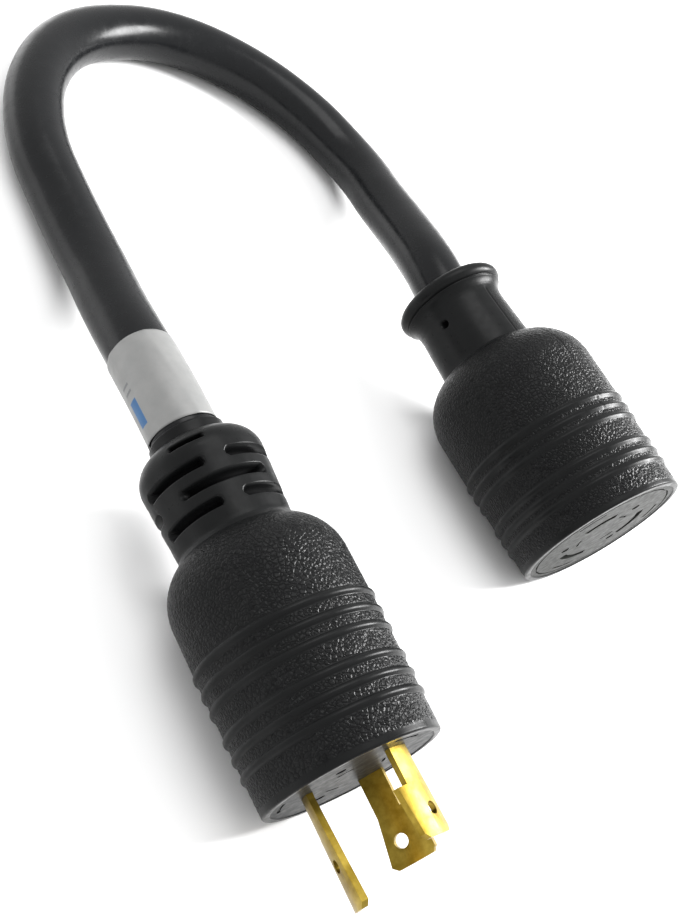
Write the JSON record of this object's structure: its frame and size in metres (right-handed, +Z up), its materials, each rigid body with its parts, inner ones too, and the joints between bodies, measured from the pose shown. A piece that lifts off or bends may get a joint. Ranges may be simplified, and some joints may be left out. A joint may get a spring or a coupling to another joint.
{
  "type": "power adapter dogbone",
  "caption": "Short heavy cord between a moulded locking plug with curved blades and a moulded locking connector with curved slots.",
  "frame": {"origin": "bottom centre of the plug and connector together, on the surface they lie on", "axes": "+Z up; the plug's blades point along -Y; the connector lies beside it on the +X side; the cord's loop is on the +Y side"},
  "size_m": [0.162, 0.28, 0.0514],
  "materials": {
    "overmould": "leather-grained black PVC",
    "insert": "smooth dark grey moulding",
    "insert_light": "smooth grey moulding",
    "core": "inner moulding, not seen",
    "blade": "brushed brass stamping",
    "contact": "plain brass spring strip",
    "jacket": "smooth semi-gloss black cord jacket",
    "filler": "twisted paper filler",
    "label": "white film label, slightly wrinkled",
    "insulation_black": "black wire insulation",
    "insulation_white": "white wire insulation",
    "insulation_green": "green wire insulation",
    "copper": "bare copper strands"
  },
  "bodies": {
    "root": {"plug_body": "overmould", "plug_face": "insert", "plug_core": "core", "blade_line": "blade", "blade_neutral": "blade", "blade_ground": "blade", "connector_body": "overmould", "connector_face": "insert_light", "connector_core": "core", "contact_line": "contact", "contact_neutral": "contact", "contact_ground": "contact", "cord_jacket": "jacket", "cord_filler": "filler", "cord_label": "label", "wire_line": "insulation_black", "wire_neutral": "insulation_white", "wire_ground": "insulation_green", "copper_line": "copper", "copper_neutral": "copper", "copper_ground": "copper"}
  },
  "joints": []
}
